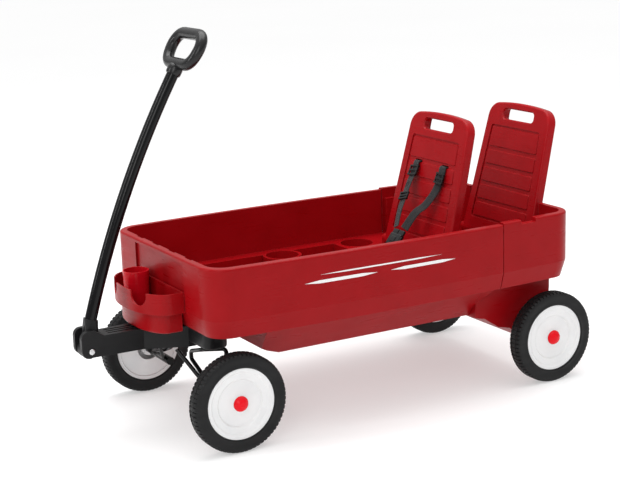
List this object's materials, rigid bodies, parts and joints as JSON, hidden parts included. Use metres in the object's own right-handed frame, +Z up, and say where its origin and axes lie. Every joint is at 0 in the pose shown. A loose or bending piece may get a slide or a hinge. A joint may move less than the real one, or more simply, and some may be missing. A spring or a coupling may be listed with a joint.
{
  "type": "pull wagon",
  "caption": "Moulded pull wagon with bowed bed, footwells, folding seat backs, harness, cup tray, steered front truck and a bowed draw handle with loop grip.",
  "frame": {"origin": "on the ground under the middle of the overall length and width", "axes": "+X along the wagon towards its rear, -X towards the draw handle, +Y to the wagon's right, +Z up"},
  "size_m": [1.2794, 0.5738, 0.9225],
  "materials": {
    "red_body": "satin moulded",
    "red_seat": "satin moulded",
    "red_cup": "glossy moulded",
    "red_cap": "glossy moulded",
    "tyre": "matt rubber",
    "white_disc": "satin moulded",
    "black_moulding": "fine grained",
    "buckle_plastic": "satin",
    "webbing": "woven webbing",
    "black_steel": "gloss powder coat",
    "zinc_steel": "zinc plated"
  },
  "bodies": {
    "wagon": {"bed_shell": "red_body", "rear_box": "red_body", "bed_tub": "red_body", "rear_housing": "red_body", "floor_screws": "zinc_steel", "front_tray": "red_body", "tray_screws": "zinc_steel", "bearing_plate": "zinc_steel", "kingpin": "zinc_steel", "kingpin_nut": "zinc_steel", "rear_axle": "zinc_steel", "rear_axle_spacers": "black_steel", "rear_hub_caps": "red_cap", "front_seat_pin": "zinc_steel", "rear_seat_pin": "zinc_steel"},
    "truck": {"tongue": "black_moulding", "front_stub_axles": "zinc_steel", "front_hub_caps": "red_cap", "axle_frame_left": "black_steel", "axle_frame_right": "black_steel", "clevis_bolt": "zinc_steel", "clevis_nut": "zinc_steel"},
    "handle": {"handle_yoke": "black_moulding", "handle_tube": "black_steel", "handle_grip": "black_moulding"},
    "front_seat": {"front_seat_back": "red_seat", "shoulder_strap_left": "webbing", "shoulder_strap_right": "webbing", "strap_adjusters": "buckle_plastic", "strap_slider": "buckle_plastic", "harness_buckle": "buckle_plastic"},
    "rear_seat": {"rear_seat_back": "red_seat"},
    "cup": {"cup": "red_cup"},
    "front_left_wheel": {"front_left_tyre": "tyre", "front_left_disc": "white_disc", "front_left_bushing": "black_moulding"},
    "front_right_wheel": {"front_right_tyre": "tyre", "front_right_disc": "white_disc", "front_right_bushing": "black_moulding"},
    "rear_left_wheel": {"rear_left_tyre": "tyre", "rear_left_disc": "white_disc", "rear_left_bushing": "black_moulding"},
    "rear_right_wheel": {"rear_right_tyre": "tyre", "rear_right_disc": "white_disc", "rear_right_bushing": "black_moulding"}
  },
  "joints": [
    {"name": "steering", "type": "hinge", "parent": "wagon", "child": "truck", "pos_m": [-0.36675, 0, 0.203], "axis": [0, 0, 1], "range_deg": [-20, 20]},
    {"name": "handle_pivot", "type": "hinge", "parent": "truck", "child": "handle", "pos_m": [-0.61675, 0, 0.218], "axis": [0, -1, 0], "range_deg": [0, 115]},
    {"name": "front_seat_fold", "type": "hinge", "parent": "wagon", "child": "front_seat", "pos_m": [0.29225, 0, 0.3223], "axis": [0, -1, 0], "range_deg": [0, 80]},
    {"name": "rear_seat_fold", "type": "hinge", "parent": "wagon", "child": "rear_seat", "pos_m": [0.54325, 0, 0.3223], "axis": [0, -1, 0], "range_deg": [0, 33]},
    {"name": "cup_lift", "type": "slide", "parent": "wagon", "child": "cup", "axis": [0, 0, 1], "range_m": [0, 0.11]},
    {"name": "front_left_spin", "type": "hinge", "parent": "truck", "child": "front_left_wheel", "pos_m": [-0.36675, -0.258, 0.115], "axis": [0, 1, 0], "continuous": true},
    {"name": "front_right_spin", "type": "hinge", "parent": "truck", "child": "front_right_wheel", "pos_m": [-0.36675, 0.258, 0.115], "axis": [0, 1, 0], "continuous": true},
    {"name": "rear_left_spin", "type": "hinge", "parent": "wagon", "child": "rear_left_wheel", "pos_m": [0.51225, -0.258, 0.115], "axis": [0, 1, 0], "continuous": true},
    {"name": "rear_right_spin", "type": "hinge", "parent": "wagon", "child": "rear_right_wheel", "pos_m": [0.51225, 0.258, 0.115], "axis": [0, 1, 0], "continuous": true}
  ]
}
